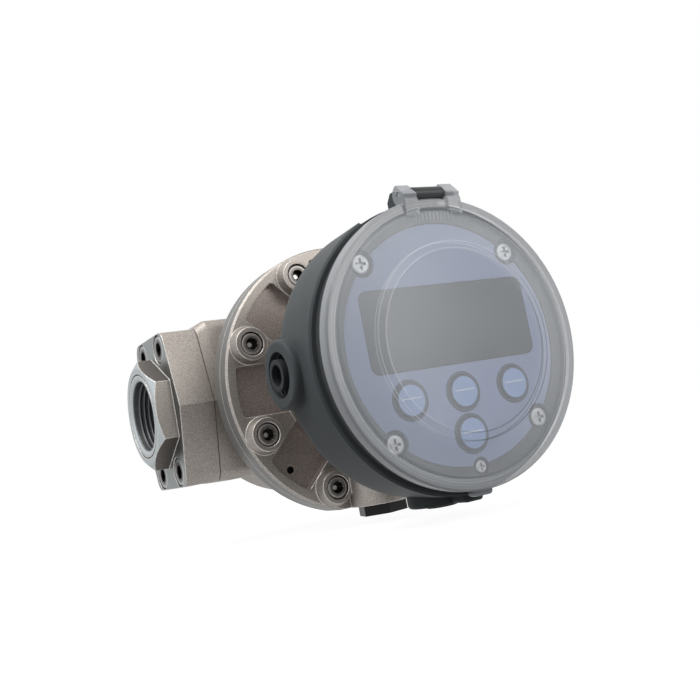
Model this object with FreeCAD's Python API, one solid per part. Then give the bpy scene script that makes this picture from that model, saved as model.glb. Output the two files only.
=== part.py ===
import FreeCAD, Part
import math
import os
from FreeCAD import Placement, Rotation, Vector

# Oval gear flow meter: a cast body and bolted cap round a pair of toothed oval gears,
# screwed pipe adaptors at both ends, and a round register with a hinged clear lid.
# Every piece is drawn in the dial frame and placed at the end: x along the pipe to the
# outlet, y up, z out of the dial towards the reader, origin where the pipe axis crosses
# the dial axis. All sizes are millimetres.

# Oval gears, their shafts and the chamber they turn in
gear_tip_long = 23.2
gear_tip_short = 14.6
gear_mesh_clearance = 0.3
gear_teeth = 34
tooth_height = 2.0
gear_length = 35.6
gear_end_clearance = 0.2
chamber_side_clearance = 0.3
shaft_r = 3.0
shaft_seat_depth = 6.0
shaft_end_clearance = 0.5
shaft_running_clearance = 0.03
bush_wall = 2.0
balance_hole_r = 2.6
balance_hole_x = 13.0
magnet_length = 4.0
bush_r = shaft_r + bush_wall
gear_y = (gear_tip_long + gear_tip_short + gear_mesh_clearance) / 2
chamber_r = gear_tip_long + chamber_side_clearance
chamber_reach = gear_y + chamber_r

# Measuring body, from the chamber outwards
seam_z = 46.7
cap_oring_wall = 3.85
cap_oring_section = 2.4
cap_screw_circle_gap = 7.05
cap_screw_count = 8
disc_edge = 9.35
disc_flat_depth = 2.8
disc_thickness = 8.0
disc_back_chamfer = 1.2
drum_wall = 7.45
drum_edge_r = 5.0
drum_back_inset = 0.5
block_run = 10.4
block_rise = 3.4
block_drop = 0.8
block_flare_length = 5.6
gallery_r = 9.5
gallery_offset = 7.8
gallery_roof = 4.0
throat_half_height = 7.0
cap_oring_r = chamber_reach + cap_oring_wall
cap_screw_circle_r = cap_oring_r + cap_screw_circle_gap
disc_r = cap_screw_circle_r + disc_edge
disc_flat_y = disc_flat_depth - disc_r
drum_r = chamber_reach + drum_wall
body_end_x = drum_r + block_run
gallery_x = gear_tip_long + gallery_offset

# Pipe ports and end adaptors
port_thread_r = 15.15
port_thread_length = 19.0
port_mouth_flare = 3.05
port_mouth_depth = 2.0
port_shoulder = 2.65
hex_across_flats = 46.0
hex_length = 8.9
flange_thickness = 17.0
flange_half_height = 36.6
flange_half_depth = 30.5
flange_shoulder_drop = 9.5
flange_corner_r = 6.0
flange_side_r = 1.5
adaptor_screw_edge_y = 7.3
adaptor_screw_edge_z = 8.0
adaptor_screw_grip = 16.0
adaptor_oring_wall = 7.1
adaptor_oring_section = 2.6
flow_bore_r = port_thread_r - port_shoulder
adaptor_oring_r = flow_bore_r + adaptor_oring_wall
flange_corner_z = flange_half_depth - flange_shoulder_drop
adaptor_screw_y = flange_half_height - adaptor_screw_edge_y
adaptor_screw_z = flange_corner_z - adaptor_screw_edge_z
half_length = body_end_x + flange_thickness + hex_length
block_top = flange_half_height + block_rise
block_bottom = -flange_half_height - block_drop
drum_back_z = drum_back_inset - flange_half_depth

# Conduit entries, the same thread on the cap and on the register
conduit_bore_r = 9.2
conduit_boss_wall = 4.8
conduit_plug_clearance = 0.05
plug_stem_inset = 2.9
plug_stem_wall = 2.0
plug_head_overhang = 0.8
conduit_boss_r = conduit_bore_r + conduit_boss_wall
plug_stem_r = conduit_bore_r - plug_stem_inset

# Cap
cap_plate_thickness = 7.5
cap_edge_chamfer = 0.8
cap_pocket_depth = 4.3
cap_pocket_half_width = 11.5
cap_pocket_edge = 4.6
cap_pocket_corner_r = 2.0
cap_pocket_run_in = 4.0
cap_boss_base_r = 8.7
cap_boss_top_r = 7.5
cap_boss_height = 5.2
cap_screw_spare = 1.0
weep_hole_r = 1.7
weep_hole_angle = 225.0
hub_clear = 16.65
hub_draft = 1.0
hub_height = 29.0
hub_wall = 11.8
hub_floor_rise = 3.8
neck_screw_edge = 6.8
cap_conduit_rise = 6.0
cap_conduit_depth = 16.0
cap_wire_passage_r = 4.0
plug_hex_height = 4.8
plug_hex_turn = -14.3
cap_plug_stem_length = 12.0
cap_face_z = seam_z + cap_plate_thickness
cap_boss_z = cap_face_z + cap_boss_height
cap_pocket_outer_r = disc_r - cap_pocket_edge
hub_base_r = cap_screw_circle_r - hub_clear
hub_top_r = hub_base_r - hub_draft
hub_top_z = cap_face_z + hub_height
hub_cavity_r = hub_top_r - hub_wall
hub_cavity_floor_z = cap_face_z + hub_floor_rise
neck_screw_circle_r = hub_top_r - neck_screw_edge
cap_conduit_z = cap_face_z + cap_conduit_rise

# Pulse sensor board in the hub
sensor_board_gap = 1.0
sensor_half_width = 3.0
sensor_height = 3.0
sensor_inset = 4.9
sensor_angles = (47, 133)

# Lid, which sets the size of the register
lid_r = 58.0
lid_gap = 0.3
lid_rim_height = 5.4
lid_rim_wall = 2.6
lid_rim_step = 1.6
lid_wall = 2.2
lid_edge_chamfer = 0.8
lid_groove_inset = 4.8
lid_groove_depth = 1.2
lid_groove_floor = 0.9
lid_groove_back = 1.5
lid_flank_start = 0.3
lens_ring_inset = 18.9
lens_ring_width = 3.0
lens_rise = 5.6
lens_step = 0.7
lens_back_inset = 0.6
lid_tab_half_width = 4.5
lid_tab_proud = 2.2
lid_tab_length = 4.0
lid_tab_overhang = 2.9
lid_tab_corner_r = 1.6
lid_groove_r = lid_r - lid_groove_inset
lens_ring_r = lid_r - lens_ring_inset
lens_r = lens_ring_r - lens_ring_width
lid_tab_reach = lid_r + lid_tab_proud

# Lid hinge
hinge_proud = 2.4
hinge_drop = 2.6
hinge_eye_r = 4.1
hinge_eye_bevel = 2.4
hinge_barrel_r = 2.85
hinge_barrel_web = 2.0
hinge_pin_r = 1.2
hinge_pin_clearance = 0.05
hinge_pin_grip = 0.02
hinge_pin_inset = 0.3
hinge_inner_x = 7.2
hinge_outer_x = 13.2
barrel_side_gap = 0.3
ear_rise = 1.6
ear_rib_inset = 7.4
ear_rib_drop = 0.6
ear_root = 0.6
ear_root_rise = 0.8
ear_rib_root = 1.0
ear_nose = 0.7
hinge_y = lid_r + hinge_proud

# Register housing: a neck on the hub and a bowl on the neck
neck_gasket_thickness = 1.0
neck_gasket_inset = 0.3
neck_gasket_gap = 0.5
neck_overhang = 4.2
neck_height = 8.0
neck_floor_extra = 0.6
neck_screw_angles = (45, 135, 225, 315)
neck_screw_grip = 12.0
wire_passage_r = 8.0
housing_wall = 3.2
lip_proud = 1.6
lip_height = 49.5
lip_chamfer = 0.8
wall_draft = 0.7
shoulder_height = 24.0
shoulder_bulge_r = 2.2
shoulder_bulge_z = 7.4
inner_bulge_r = 0.8
inner_bulge_z = 0.6
back_inset = 8.9
back_rise = 3.0
back_inner_inset = 0.8
inner_shoulder_rise = 1.0
spigot_inset = 2.6
housing_spigot_height = 2.0
seal_land = 5.0
seal_land_height = 4.0
seal_land_slope = 3.0
housing_seal_section = 1.8
pillar_r = 4.5
conduit_boss_proud = 3.6
conduit_height = 25.2
conduit_sleeve_length = 16.0
conduit_mouth_round = 1.6
plug_recess_depth = 10.0
plug_disc_thickness = 4.0
plug_stem_proud = 1.0
hinge_relief_depth = 1.0
hinge_relief_angle = 28.0
hinge_lug_half_width = 10.0
hinge_lug_proud = 4.6
hinge_lug_root = 6.0
hinge_lug_depth = 5.5
hinge_lug_chamfer = 3.0
catch_half_width = 4.6
catch_proud = 3.3
catch_root = 3.0
catch_front_drop = 1.0
catch_depth = 8.5
catch_corner_r = 1.5
housing_lip_r = lid_r + lip_proud
housing_shoulder_r = housing_lip_r - wall_draft
housing_back_r = housing_shoulder_r - back_inset
housing_spigot_r = housing_lip_r - spigot_inset
housing_seal_r = housing_spigot_r - seal_land / 2
hinge_relief_r = housing_lip_r - hinge_relief_depth
hinge_lug_y = housing_lip_r + hinge_lug_proud
conduit_boss_reach = housing_shoulder_r + conduit_boss_proud
catch_reach = housing_shoulder_r + catch_proud
neck_r = hub_top_r + neck_overhang
neck_well_r = neck_r - housing_wall
housing_back_z = hub_top_z + neck_gasket_thickness
neck_floor_z = housing_back_z + housing_wall + neck_floor_extra
neck_top_z = housing_back_z + neck_height
housing_shoulder_z = housing_back_z + shoulder_height
housing_lip_z = housing_back_z + lip_height
conduit_boss_z = housing_back_z + conduit_height

# Bezel and facia
bezel_inset = 0.5
bezel_flange_thickness = 2.8
bezel_edge_chamfer = 0.5
bezel_deck_gap = 1.0
bezel_deck_height = 1.9
bezel_ledge = 3.0
bezel_screw_grip = 12.0
facia_inset = 5.9
facia_thickness = 1.6
facia_recess = 0.4
facia_gap = 0.25
facia_hole_margin = 0.4
facia_screw_inset = 5.25
facia_screw_angles = (45, 135, 225, 315)
screw_recess_r = 5.2
screw_recess_depth = 2.8
seal_screw_x = 1.5
seal_screw_inset = 5.1
seal_recess_r = 3.4
seal_recess_depth = 2.0
seal_screw_floor = 0.4
seal_screw_length = 1.8
seal_hole_depth = 3.0
bezel_r = lid_r - bezel_inset
bezel_deck_r = lid_r - lid_rim_wall - bezel_deck_gap
facia_r = bezel_deck_r - facia_inset
bezel_opening_r = facia_r - bezel_ledge
facia_screw_circle_r = bezel_deck_r - facia_screw_inset
seal_screw_y = seal_screw_inset - bezel_deck_r
bezel_back_z = housing_lip_z + housing_spigot_height
bezel_front_z = bezel_back_z + bezel_flange_thickness
deck_z = bezel_front_z + bezel_deck_height
facia_front_z = deck_z - facia_recess
facia_back_z = facia_front_z - facia_thickness
screw_seat_z = deck_z - screw_recess_depth
seal_seat_z = deck_z - seal_recess_depth
lid_back_z = bezel_front_z + lid_gap
lid_front_z = lid_back_z + lid_rim_height
lens_z = lid_front_z + lens_rise
hinge_z = lid_front_z - hinge_drop

# Display and keys, laid out as shares of the facia's radius
window_width = 1.614 * facia_r
window_height = 0.670 * facia_r
window_y = 0.161 * facia_r
window_corner_r = 4.0
window_gap = 0.25
window_sink = 0.1
lcd_side_margin = 2.15
lcd_height_extra = 1.0
lcd_depth = 7.0
lcd_gap = 0.2
upper_key_x = 0.511 * facia_r
upper_key_y = -0.400 * facia_r
lower_key_y = -0.742 * facia_r
key_r = 0.134 * facia_r
key_hole_margin = 1.4
key_proud = 1.2
key_travel = 0.8
key_edge_r = 0.6
key_stem_r = 3.0
key_gap = 0.3
key_back_gap = 0.2
key_stem_gap = 0.2
key_seal_gap = 0.2
key_seal_recess = 0.6
key_seal_thickness = 1.0
key_pad_margin = 1.4
key_collar_gap = 0.15
key_bridge_half_width = 4.0
switch_half_width = 3.0
switch_height = 4.0
key_hole_r = key_r + key_hole_margin
key_front_z = facia_front_z + key_proud
key_back_z = facia_back_z + key_back_gap
key_seal_z = facia_back_z - key_seal_gap
lcd_front_z = facia_back_z - lcd_gap
keys = {
    "key_left": (-upper_key_x, upper_key_y),
    "key_centre": (0.0, upper_key_y),
    "key_right": (upper_key_x, upper_key_y),
    "key_lower": (0.0, lower_key_y),
}

# Circuit board, battery and terminals
board_gap = 2.0
board_thickness = 1.6
board_drop = 5.8
board_post_r = 3.0
board_post_inset = 3.5
board_screw_angles = (60, 120, 240, 300)
board_screw_grip = 7.0
battery_side_inset = 16.5
battery_top_inset = 13.5
battery_low_y = -2.0
battery_depth = 15.0
battery_wall = 1.5
cell_overlap = 0.3
terminal_side_inset = 21.5
terminal_count = 8
terminal_height = 12.0
terminal_depth = 12.0
terminal_y = -17.0
terminal_hole_r = 1.6
terminal_hole_depth = 3.0
board_r = bezel_opening_r - board_gap
board_post_circle_r = board_r - board_post_inset
board_front_z = housing_lip_z - board_drop
board_back_z = board_front_z - board_thickness

# Screws: head radius, head height, shank radius, and the key's width across flats
m6_socket = (5.0, 6.0, 3.0, 5.0)
m8_socket = (6.5, 8.0, 4.0, 6.0)
m5_pan = (4.2, 3.4, 2.5)
m4_pan = (4.0, 2.2, 2.0)
m3_pan = (2.6, 1.5, 1.5)
thread_clearance = 0.05
shank_clearance = 0.25
head_clearance = 0.5
head_sink = 0.3
head_chamfer = 0.5
tapped_spare = 2.0

# O-rings lie in grooves this much shallower and wider than their section
oring_squeeze = 0.1
oring_side_play = 0.3
oring_clearance = 0.05

x_out = Vector(1, 0, 0)
y_up = Vector(0, 1, 0)
z_out = Vector(0, 0, 1)
corner_signs = ((-1, -1), (-1, 1), (1, -1), (1, 1))
tiny = 0.01


# Shapes that several pieces use

def rod(r, start, length, along=z_out):
    return Part.makeCylinder(r, length, Vector(*start), along)


def rod_between(r, x, y, z_low, z_high):
    return rod(r, (x, y, z_low), z_high - z_low)


def block(x, y, z):
    """A box from three (low, high) pairs."""
    return Part.makeBox(x[1] - x[0], y[1] - y[0], z[1] - z[0], Vector(x[0], y[0], z[0]))


def turned(profile):
    """A solid of revolution about the dial axis; the profile holds (r, z) points and,
    for an arc, a pair of points: its middle and its end."""
    edges = []
    here = Vector(profile[0][0], 0, profile[0][1])
    for step in profile[1:] + [profile[0]]:
        if isinstance(step[0], tuple):
            middle = Vector(step[0][0], 0, step[0][1])
            there = Vector(step[1][0], 0, step[1][1])
            edges.append(Part.Arc(here, middle, there).toShape())
        else:
            there = Vector(step[0], 0, step[1])
            edges.append(Part.LineSegment(here, there).toShape())
        here = there
    face = Part.Face(Part.Wire(edges))
    return face.revolve(Vector(0, 0, 0), z_out, 360)


def ring(r_out, r_in, z_low, z_high):
    return rod_between(r_out, 0, 0, z_low, z_high).cut(rod_between(r_in, 0, 0, z_low, z_high))


def prism(points, along):
    """A solid from a closed run of corners, drawn out along a vector."""
    return Part.Face(Part.makePolygon(points + points[:1])).extrude(along)


def rounded_wire(corners, radii):
    """A closed outline through 3-D corners in one plane, each corner rounded."""
    count = len(corners)
    arcs = []
    starts = []
    ends = []
    for i, corner in enumerate(corners):
        before = (corners[i - 1] - corner).normalize()
        after = (corners[(i + 1) % count] - corner).normalize()
        half = before.getAngle(after) / 2
        reach = radii[i] / math.tan(half)
        starts.append(corner + before * reach)
        ends.append(corner + after * reach)
        inward = (before + after).normalize()
        middle = corner + inward * (radii[i] / math.sin(half) - radii[i])
        arcs.append(Part.Arc(starts[i], middle, ends[i]).toShape())
    lines = [Part.LineSegment(ends[i], starts[(i + 1) % count]).toShape() for i in range(count)]
    return Part.Wire(Part.__sortEdges__(arcs + lines))


def rounded_plate(width, height, r, y, z_low, z_high):
    """A plate with rounded corners, centred over the dial axis."""
    corners = [
        Vector(sx * width / 2, y + sy * height / 2, z_low)
        for sx, sy in ((-1, -1), (1, -1), (1, 1), (-1, 1))
    ]
    face = Part.Face(rounded_wire(corners, [r] * 4))
    return face.extrude(z_out * (z_high - z_low))


def on_circle(r, angle):
    return r * math.cos(math.radians(angle)), r * math.sin(math.radians(angle))


def regular_hexagon(across_flats, turn):
    return [on_circle(across_flats / math.sqrt(3), turn + 60 * k) for k in range(6)]


def outer_rim(head, seat_z, head_height):
    """The round edge at the top of a screw head."""
    return [
        edge for edge in head.Edges
        if edge.BoundBox.ZMin > seat_z + head_height / 2 and edge.BoundBox.ZLength < tiny
    ]


def socket_screw(size, x, y, seat_z, length):
    """A cylinder-head screw with a hexagon socket, its head on seat_z."""
    head_r, head_height, shank_r, key_flats = size
    head = rod(head_r, (x, y, seat_z), head_height)
    head = head.makeChamfer(head_chamfer, outer_rim(head, seat_z, head_height))
    shank = rod(shank_r, (x, y, seat_z - length), length)
    middle_z = seat_z + head_height / 2
    socket = [Vector(x + px, y + py, middle_z) for px, py in regular_hexagon(key_flats, 0)]
    return head.fuse(shank).cut(prism(socket, z_out * head_height))


def pan_screw(size, x, y, seat_z, length):
    """A pan-head screw with a cross recess, its head on seat_z."""
    head_r, head_height, shank_r = size
    head = rod(head_r, (x, y, seat_z), head_height)
    head = head.makeFillet(0.4 * head_height, outer_rim(head, seat_z, head_height))
    shank = rod(shank_r, (x, y, seat_z - length), length)
    arm = 0.55 * head_r
    slot = 0.13 * head_r
    top = (seat_z + 0.4 * head_height, seat_z + 2 * head_height)
    cross = block((x - arm, x + arm), (y - slot, y + slot), top)
    cross = cross.fuse(block((x - slot, x + slot), (y - arm, y + arm), top))
    return head.fuse(shank).cut(cross)


def screw_hole(size, x, y, top_z, depth):
    """A tapped hole, cut plain and just wider than the screw's shank."""
    return rod(size[2] + thread_clearance, (x, y, top_z - depth), depth)


def through_hole(size, x, y, z_low, z_high):
    return rod_between(size[2] + shank_clearance, x, y, z_low, z_high)


def oring_groove(r, section, face_z):
    """A groove sunk into the face at face_z."""
    wide = section + oring_side_play
    return ring(r + wide / 2, r - wide / 2, face_z - section + oring_squeeze, face_z)


def oring(r, section, face_z):
    depth = section - oring_squeeze
    return Part.makeTorus(r, depth / 2 - oring_clearance, Vector(0, 0, face_z - depth / 2), z_out)


def lengthwise(shape, x, y, z):
    """Turns a shape drawn along z so that it runs along +x, and moves its origin."""
    turned_shape = shape.copy()
    turned_shape.Placement = Placement(Vector(x, y, z), Rotation(y_up, 90))
    return turned_shape


def to_inlet(shape):
    """The inlet pieces are the outlet ones turned half a turn about the vertical."""
    return shape.rotated(Vector(0, 0, 0), y_up, 180)


def cap_screw_places():
    step = 360 / cap_screw_count
    return [on_circle(cap_screw_circle_r, step * (k + 0.5)) for k in range(cap_screw_count)]


def facia_screw_places():
    return [on_circle(facia_screw_circle_r, angle) for angle in facia_screw_angles]


def board_screw_places():
    return [on_circle(board_post_circle_r, angle) for angle in board_screw_angles]


def neck_screw_places():
    return [on_circle(neck_screw_circle_r, angle) for angle in neck_screw_angles]


# Measuring body

def long_hexagon(x, top, bottom):
    """The outline of the adaptor flange and of the body, in the plane at x."""
    side_z = flange_corner_z
    corners = [
        Vector(x, 0, flange_half_depth),
        Vector(x, top, side_z),
        Vector(x, top, -side_z),
        Vector(x, 0, -flange_half_depth),
        Vector(x, bottom, -side_z),
        Vector(x, bottom, side_z),
    ]
    end = [flange_side_r, flange_corner_r, flange_corner_r]
    return rounded_wire(corners, end + end)


def cast_block():
    """The long hexagon block, which eases at both ends into the adaptor's flange."""
    straight = body_end_x - block_flare_length
    middle = long_hexagon(-straight, block_top, block_bottom)
    body = Part.Face(middle).extrude(x_out * 2 * straight)
    for side in (-1, 1):
        flare = [
            long_hexagon(side * straight, block_top, block_bottom),
            long_hexagon(side * body_end_x, flange_half_height, -flange_half_height),
        ]
        body = body.fuse(Part.makeLoft(flare, True, True))
    return body


def flattened(disc):
    """The disc edge of body and cap is cut flat where the cap's conduit boss comes out."""
    reach = 2 * disc_r
    return disc.cut(block((-reach, reach), (-reach, disc_flat_y), (drum_back_z, cap_face_z)))


def drum():
    """The round drum behind the disc edge that the cap is bolted to."""
    disc_back_z = seam_z - disc_thickness
    chamfer = disc_back_chamfer
    bend = drum_edge_r * (1 - math.cos(math.radians(45)))
    return flattened(turned([
        (0, drum_back_z),
        (drum_r - drum_edge_r, drum_back_z),
        ((drum_r - bend, drum_back_z + bend), (drum_r, drum_back_z + drum_edge_r)),
        (drum_r, disc_back_z),
        (disc_r - chamfer, disc_back_z),
        (disc_r, disc_back_z + chamfer),
        (disc_r, seam_z),
        (0, seam_z),
    ]))


def chamber_floor_z():
    return seam_z - gear_length - 2 * gear_end_clearance


def chamber():
    lobes = [rod_between(chamber_r, 0, sy * gear_y, chamber_floor_z(), seam_z) for sy in (-1, 1)]
    return lobes[0].fuse(lobes[1])


def flow_passages():
    """From each port inwards, up a cored gallery and through a throat into the chamber."""
    roof_z = seam_z - gallery_roof
    throat = (-throat_half_height, throat_half_height)
    cuts = []
    for side in (-1, 1):
        start = side * gallery_x
        inner = side * gear_tip_short / 2
        cuts.append(rod(flow_bore_r, (start, 0, 0), body_end_x - gallery_x, x_out * side))
        cuts.append(rod_between(gallery_r, start, 0, 0, roof_z))
        cuts.append(block((min(start, inner), max(start, inner)), throat, (chamber_floor_z(), roof_z)))
    return cuts


def adaptor_screw_places():
    return [(sy * adaptor_screw_y, sz * adaptor_screw_z) for sy, sz in corner_signs]


def measuring_body():
    body = cast_block().fuse(drum()).cut(chamber())
    for passage in flow_passages():
        body = body.cut(passage)
    body = body.cut(oring_groove(cap_oring_r, cap_oring_section, seam_z))
    for x, y in cap_screw_places():
        body = body.cut(screw_hole(m6_socket, x, y, seam_z, disc_thickness))
    for sy in (-1, 1):
        start = (0, sy * gear_y, chamber_floor_z() - shaft_seat_depth)
        body = body.cut(rod(shaft_r, start, shaft_seat_depth))
    hole_r = m8_socket[2] + thread_clearance
    for side in (-1, 1):
        for y, z in adaptor_screw_places():
            start = (side * body_end_x, y, z)
            body = body.cut(rod(hole_r, start, adaptor_screw_grip + tapped_spare, x_out * -side))
    return body.removeSplitter()


# End adaptors

def adaptor():
    """The outlet end: a flanged hexagon with a pipe thread, drawn at +x."""
    face_x = body_end_x + flange_thickness
    outline = long_hexagon(body_end_x, flange_half_height, -flange_half_height)
    piece = Part.Face(outline).extrude(x_out * flange_thickness)
    hexagon = [Vector(face_x, y, z) for z, y in regular_hexagon(hex_across_flats, 90)]
    piece = piece.fuse(prism(hexagon, x_out * hex_length))
    mouth_x = half_length - port_mouth_depth
    piece = piece.cut(rod(flow_bore_r, (body_end_x, 0, 0), half_length - body_end_x, x_out))
    thread = rod(port_thread_r, (mouth_x, 0, 0), port_thread_length, x_out * -1)
    mouth = Part.makeCone(port_thread_r, port_thread_r + port_mouth_flare, port_mouth_depth,
                          Vector(mouth_x, 0, 0), x_out)
    piece = piece.cut(thread).cut(mouth)
    groove = oring_groove(adaptor_oring_r, adaptor_oring_section, adaptor_oring_section - oring_squeeze)
    piece = piece.cut(lengthwise(groove, body_end_x, 0, 0))
    depth = m8_socket[1] + head_sink
    for y, z in adaptor_screw_places():
        piece = piece.cut(rod(m8_socket[0] + head_clearance, (face_x, y, z), depth, x_out * -1))
        piece = piece.cut(rod(m8_socket[2] + head_clearance, (body_end_x, y, z), flange_thickness, x_out))
    return piece


def adaptor_screws():
    seat_x = body_end_x + flange_thickness - m8_socket[1] - head_sink
    screw = socket_screw(m8_socket, 0, 0, 0, seat_x - body_end_x + adaptor_screw_grip)
    return [lengthwise(screw, seat_x, y, z) for y, z in adaptor_screw_places()]


def adaptor_oring():
    seal = oring(adaptor_oring_r, adaptor_oring_section, adaptor_oring_section - oring_squeeze)
    return lengthwise(seal, body_end_x, 0, 0)


# Oval gears

def oval_point(angle, long_r, short_r):
    """Polar oval r = p / (1 - e cos 2a), long axis along x."""
    p = 2 * long_r * short_r / (long_r + short_r)
    e = (long_r - short_r) / (long_r + short_r)
    return on_circle(p / (1 - e * math.cos(2 * angle)), math.degrees(angle))


def even_points(long_r, short_r, count):
    """Points at even steps of arc length round the oval, each with its outward normal."""
    fine = 7200
    track = [oval_point(2 * math.pi * k / fine, long_r, short_r) for k in range(fine + 1)]
    travelled = [0.0]
    for (x0, y0), (x1, y1) in zip(track, track[1:]):
        travelled.append(travelled[-1] + math.hypot(x1 - x0, y1 - y0))
    found = []
    k = 0
    for i in range(count):
        want = travelled[-1] * i / count
        while travelled[k + 1] <= want:
            k += 1
        x0, y0 = track[k]
        x1, y1 = track[k + 1]
        share = (want - travelled[k]) / (travelled[k + 1] - travelled[k])
        length = math.hypot(x1 - x0, y1 - y0)
        point = (x0 + share * (x1 - x0), y0 + share * (y1 - y0))
        found.append((point, ((y1 - y0) / length, (x0 - x1) / length)))
    return found


def gear_outline():
    """A trapezoid tooth at every pitch, its tip on the outer oval. A corner is given by its
    place in twentieths of a pitch from the tip's middle and its share of the tooth's height."""
    steps = 20
    tooth_corners = ((-3, 0.0), (3, 0.0), (7, 1.0), (13, 1.0))
    marks = even_points(gear_tip_long, gear_tip_short, gear_teeth * steps)
    outline = []
    for tooth in range(gear_teeth):
        for step, depth in tooth_corners:
            (x, y), (nx, ny) = marks[(tooth * steps + step) % len(marks)]
            outline.append((x - nx * depth * tooth_height, y - ny * depth * tooth_height))
    return outline


def gear_back_z():
    return chamber_floor_z() + gear_end_clearance


def oval_gear(y, turn):
    """One gear on its shaft axis, its long axis turned from x by turn degrees."""
    c, s = on_circle(1.0, turn)
    back_z = gear_back_z()
    points = [Vector(px * c - py * s, y + px * s + py * c, back_z) for px, py in gear_outline()]
    gear = prism(points, z_out * gear_length)
    gear = gear.cut(rod(bush_r, (0, y, back_z), gear_length))
    for side in (-1, 1):
        start = (side * balance_hole_x * c, y + side * balance_hole_x * s, back_z)
        gear = gear.cut(rod(balance_hole_r, start, gear_length))
    return gear


def gear_bush(y):
    start = (0, y, gear_back_z())
    return rod(bush_r, start, gear_length).cut(rod(shaft_r + shaft_running_clearance, start, gear_length))


def gear_shaft(y):
    """A fixed pin seated in the body's floor and in the cap."""
    return rod_between(shaft_r, 0, y, chamber_floor_z() - shaft_seat_depth,
                       seam_z + shaft_seat_depth - shaft_end_clearance)


def gear_magnets(y):
    """Two magnets in the balance holes, flush with the gear's cap side."""
    start_z = gear_back_z() + gear_length - magnet_length
    return [rod(balance_hole_r, (side * balance_hole_x, y, start_z), magnet_length) for side in (-1, 1)]


# Cap

def cap_pocket(angle):
    """A sector pocket with straight sides between two screw bosses."""
    floor_z = cap_face_z - cap_pocket_depth
    tool = block((hub_top_r - cap_pocket_run_in, disc_r), (-cap_pocket_half_width, cap_pocket_half_width),
                 (floor_z, cap_face_z + cap_pocket_depth))
    tool = tool.common(rod(cap_pocket_outer_r, (0, 0, floor_z), 2 * cap_pocket_depth))
    corners = [
        edge for edge in tool.Edges
        if edge.BoundBox.ZLength > cap_pocket_depth and edge.BoundBox.XMin > hub_top_r
    ]
    tool = tool.makeFillet(cap_pocket_corner_r, corners)
    return tool.rotated(Vector(0, 0, 0), z_out, angle)


def cap_plate():
    """The bolted plate with seven pockets; the eighth place is the conduit boss's, at the bottom."""
    chamfer = cap_edge_chamfer
    plate = flattened(turned([
        (0, seam_z),
        (disc_r, seam_z),
        (disc_r, cap_face_z - chamfer),
        (disc_r - chamfer, cap_face_z),
        (0, cap_face_z),
    ]))
    for k in range(cap_screw_count):
        angle = k * 360 / cap_screw_count
        if angle != 270:
            plate = plate.cut(cap_pocket(angle))
    return plate


def cap_conduit_boss():
    boss = rod(conduit_boss_r, (0, disc_flat_y, cap_conduit_z), -disc_flat_y, y_up)
    half_width = (-conduit_boss_r, conduit_boss_r)
    return boss.common(block(half_width, (disc_flat_y, 0), (seam_z, hub_top_z)))


def body_cap():
    hub = turned([(0, seam_z), (hub_base_r, seam_z), (hub_top_r, hub_top_z), (0, hub_top_z)])
    cap = cap_plate().fuse(hub).fuse(cap_conduit_boss())
    for x, y in cap_screw_places():
        cap = cap.fuse(Part.makeCone(cap_boss_base_r, cap_boss_top_r, cap_boss_height,
                                     Vector(x, y, cap_face_z), z_out))
    for x, y in cap_screw_places():
        seat_z = cap_boss_z - m6_socket[1] - head_sink
        cap = cap.cut(rod_between(m6_socket[0] + head_clearance, x, y, seat_z, cap_boss_z))
        cap = cap.cut(rod_between(m6_socket[2] + head_clearance, x, y, seam_z, seat_z))
    cap = cap.cut(rod_between(hub_cavity_r, 0, 0, hub_cavity_floor_z, hub_top_z))
    mouth = (0, disc_flat_y, cap_conduit_z)
    cap = cap.cut(rod(conduit_bore_r, mouth, cap_conduit_depth, y_up))
    cap = cap.cut(rod(cap_wire_passage_r, mouth, -disc_flat_y, y_up))
    for x, y in neck_screw_places():
        cap = cap.cut(screw_hole(m5_pan, x, y, hub_top_z, neck_screw_grip + tapped_spare))
    x, y = on_circle(cap_screw_circle_r, weep_hole_angle)
    cap = cap.cut(rod_between(weep_hole_r, x, y, seam_z, cap_face_z))
    for sy in (-1, 1):
        cap = cap.cut(rod(shaft_r, (0, sy * gear_y, seam_z), shaft_seat_depth))
    return cap.removeSplitter()


def cap_screws():
    seat_z = cap_boss_z - m6_socket[1] - head_sink
    length = seat_z - seam_z + disc_thickness - cap_screw_spare
    return [socket_screw(m6_socket, x, y, seat_z, length) for x, y in cap_screw_places()]


def cap_conduit_plug():
    across_flats = 2 * (conduit_bore_r + plug_head_overhang)
    corners = [
        Vector(x, disc_flat_y, cap_conduit_z + z)
        for x, z in regular_hexagon(across_flats, plug_hex_turn)
    ]
    stem_r = conduit_bore_r - conduit_plug_clearance
    stem = rod(stem_r, (0, disc_flat_y, cap_conduit_z), cap_plug_stem_length, y_up)
    return prism(corners, y_up * -plug_hex_height).fuse(stem)


def pulse_sensor_board():
    """A round board on two field sensors that stand on the cavity floor."""
    board_z = hub_cavity_floor_z + sensor_height
    board = rod(hub_cavity_r - sensor_board_gap, (0, 0, board_z), board_thickness)
    half = sensor_half_width
    for angle in sensor_angles:
        x, y = on_circle(hub_cavity_r - sensor_inset, angle)
        board = board.fuse(block((x - half, x + half), (y - half, y + half), (hub_cavity_floor_z, board_z)))
    return board


# Register housing

def neck_gasket():
    gasket = ring(hub_top_r - neck_gasket_inset, hub_cavity_r + neck_gasket_gap, hub_top_z, housing_back_z)
    for x, y in neck_screw_places():
        gasket = gasket.cut(through_hole(m5_pan, x, y, hub_top_z, housing_back_z))
    return gasket


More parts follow.
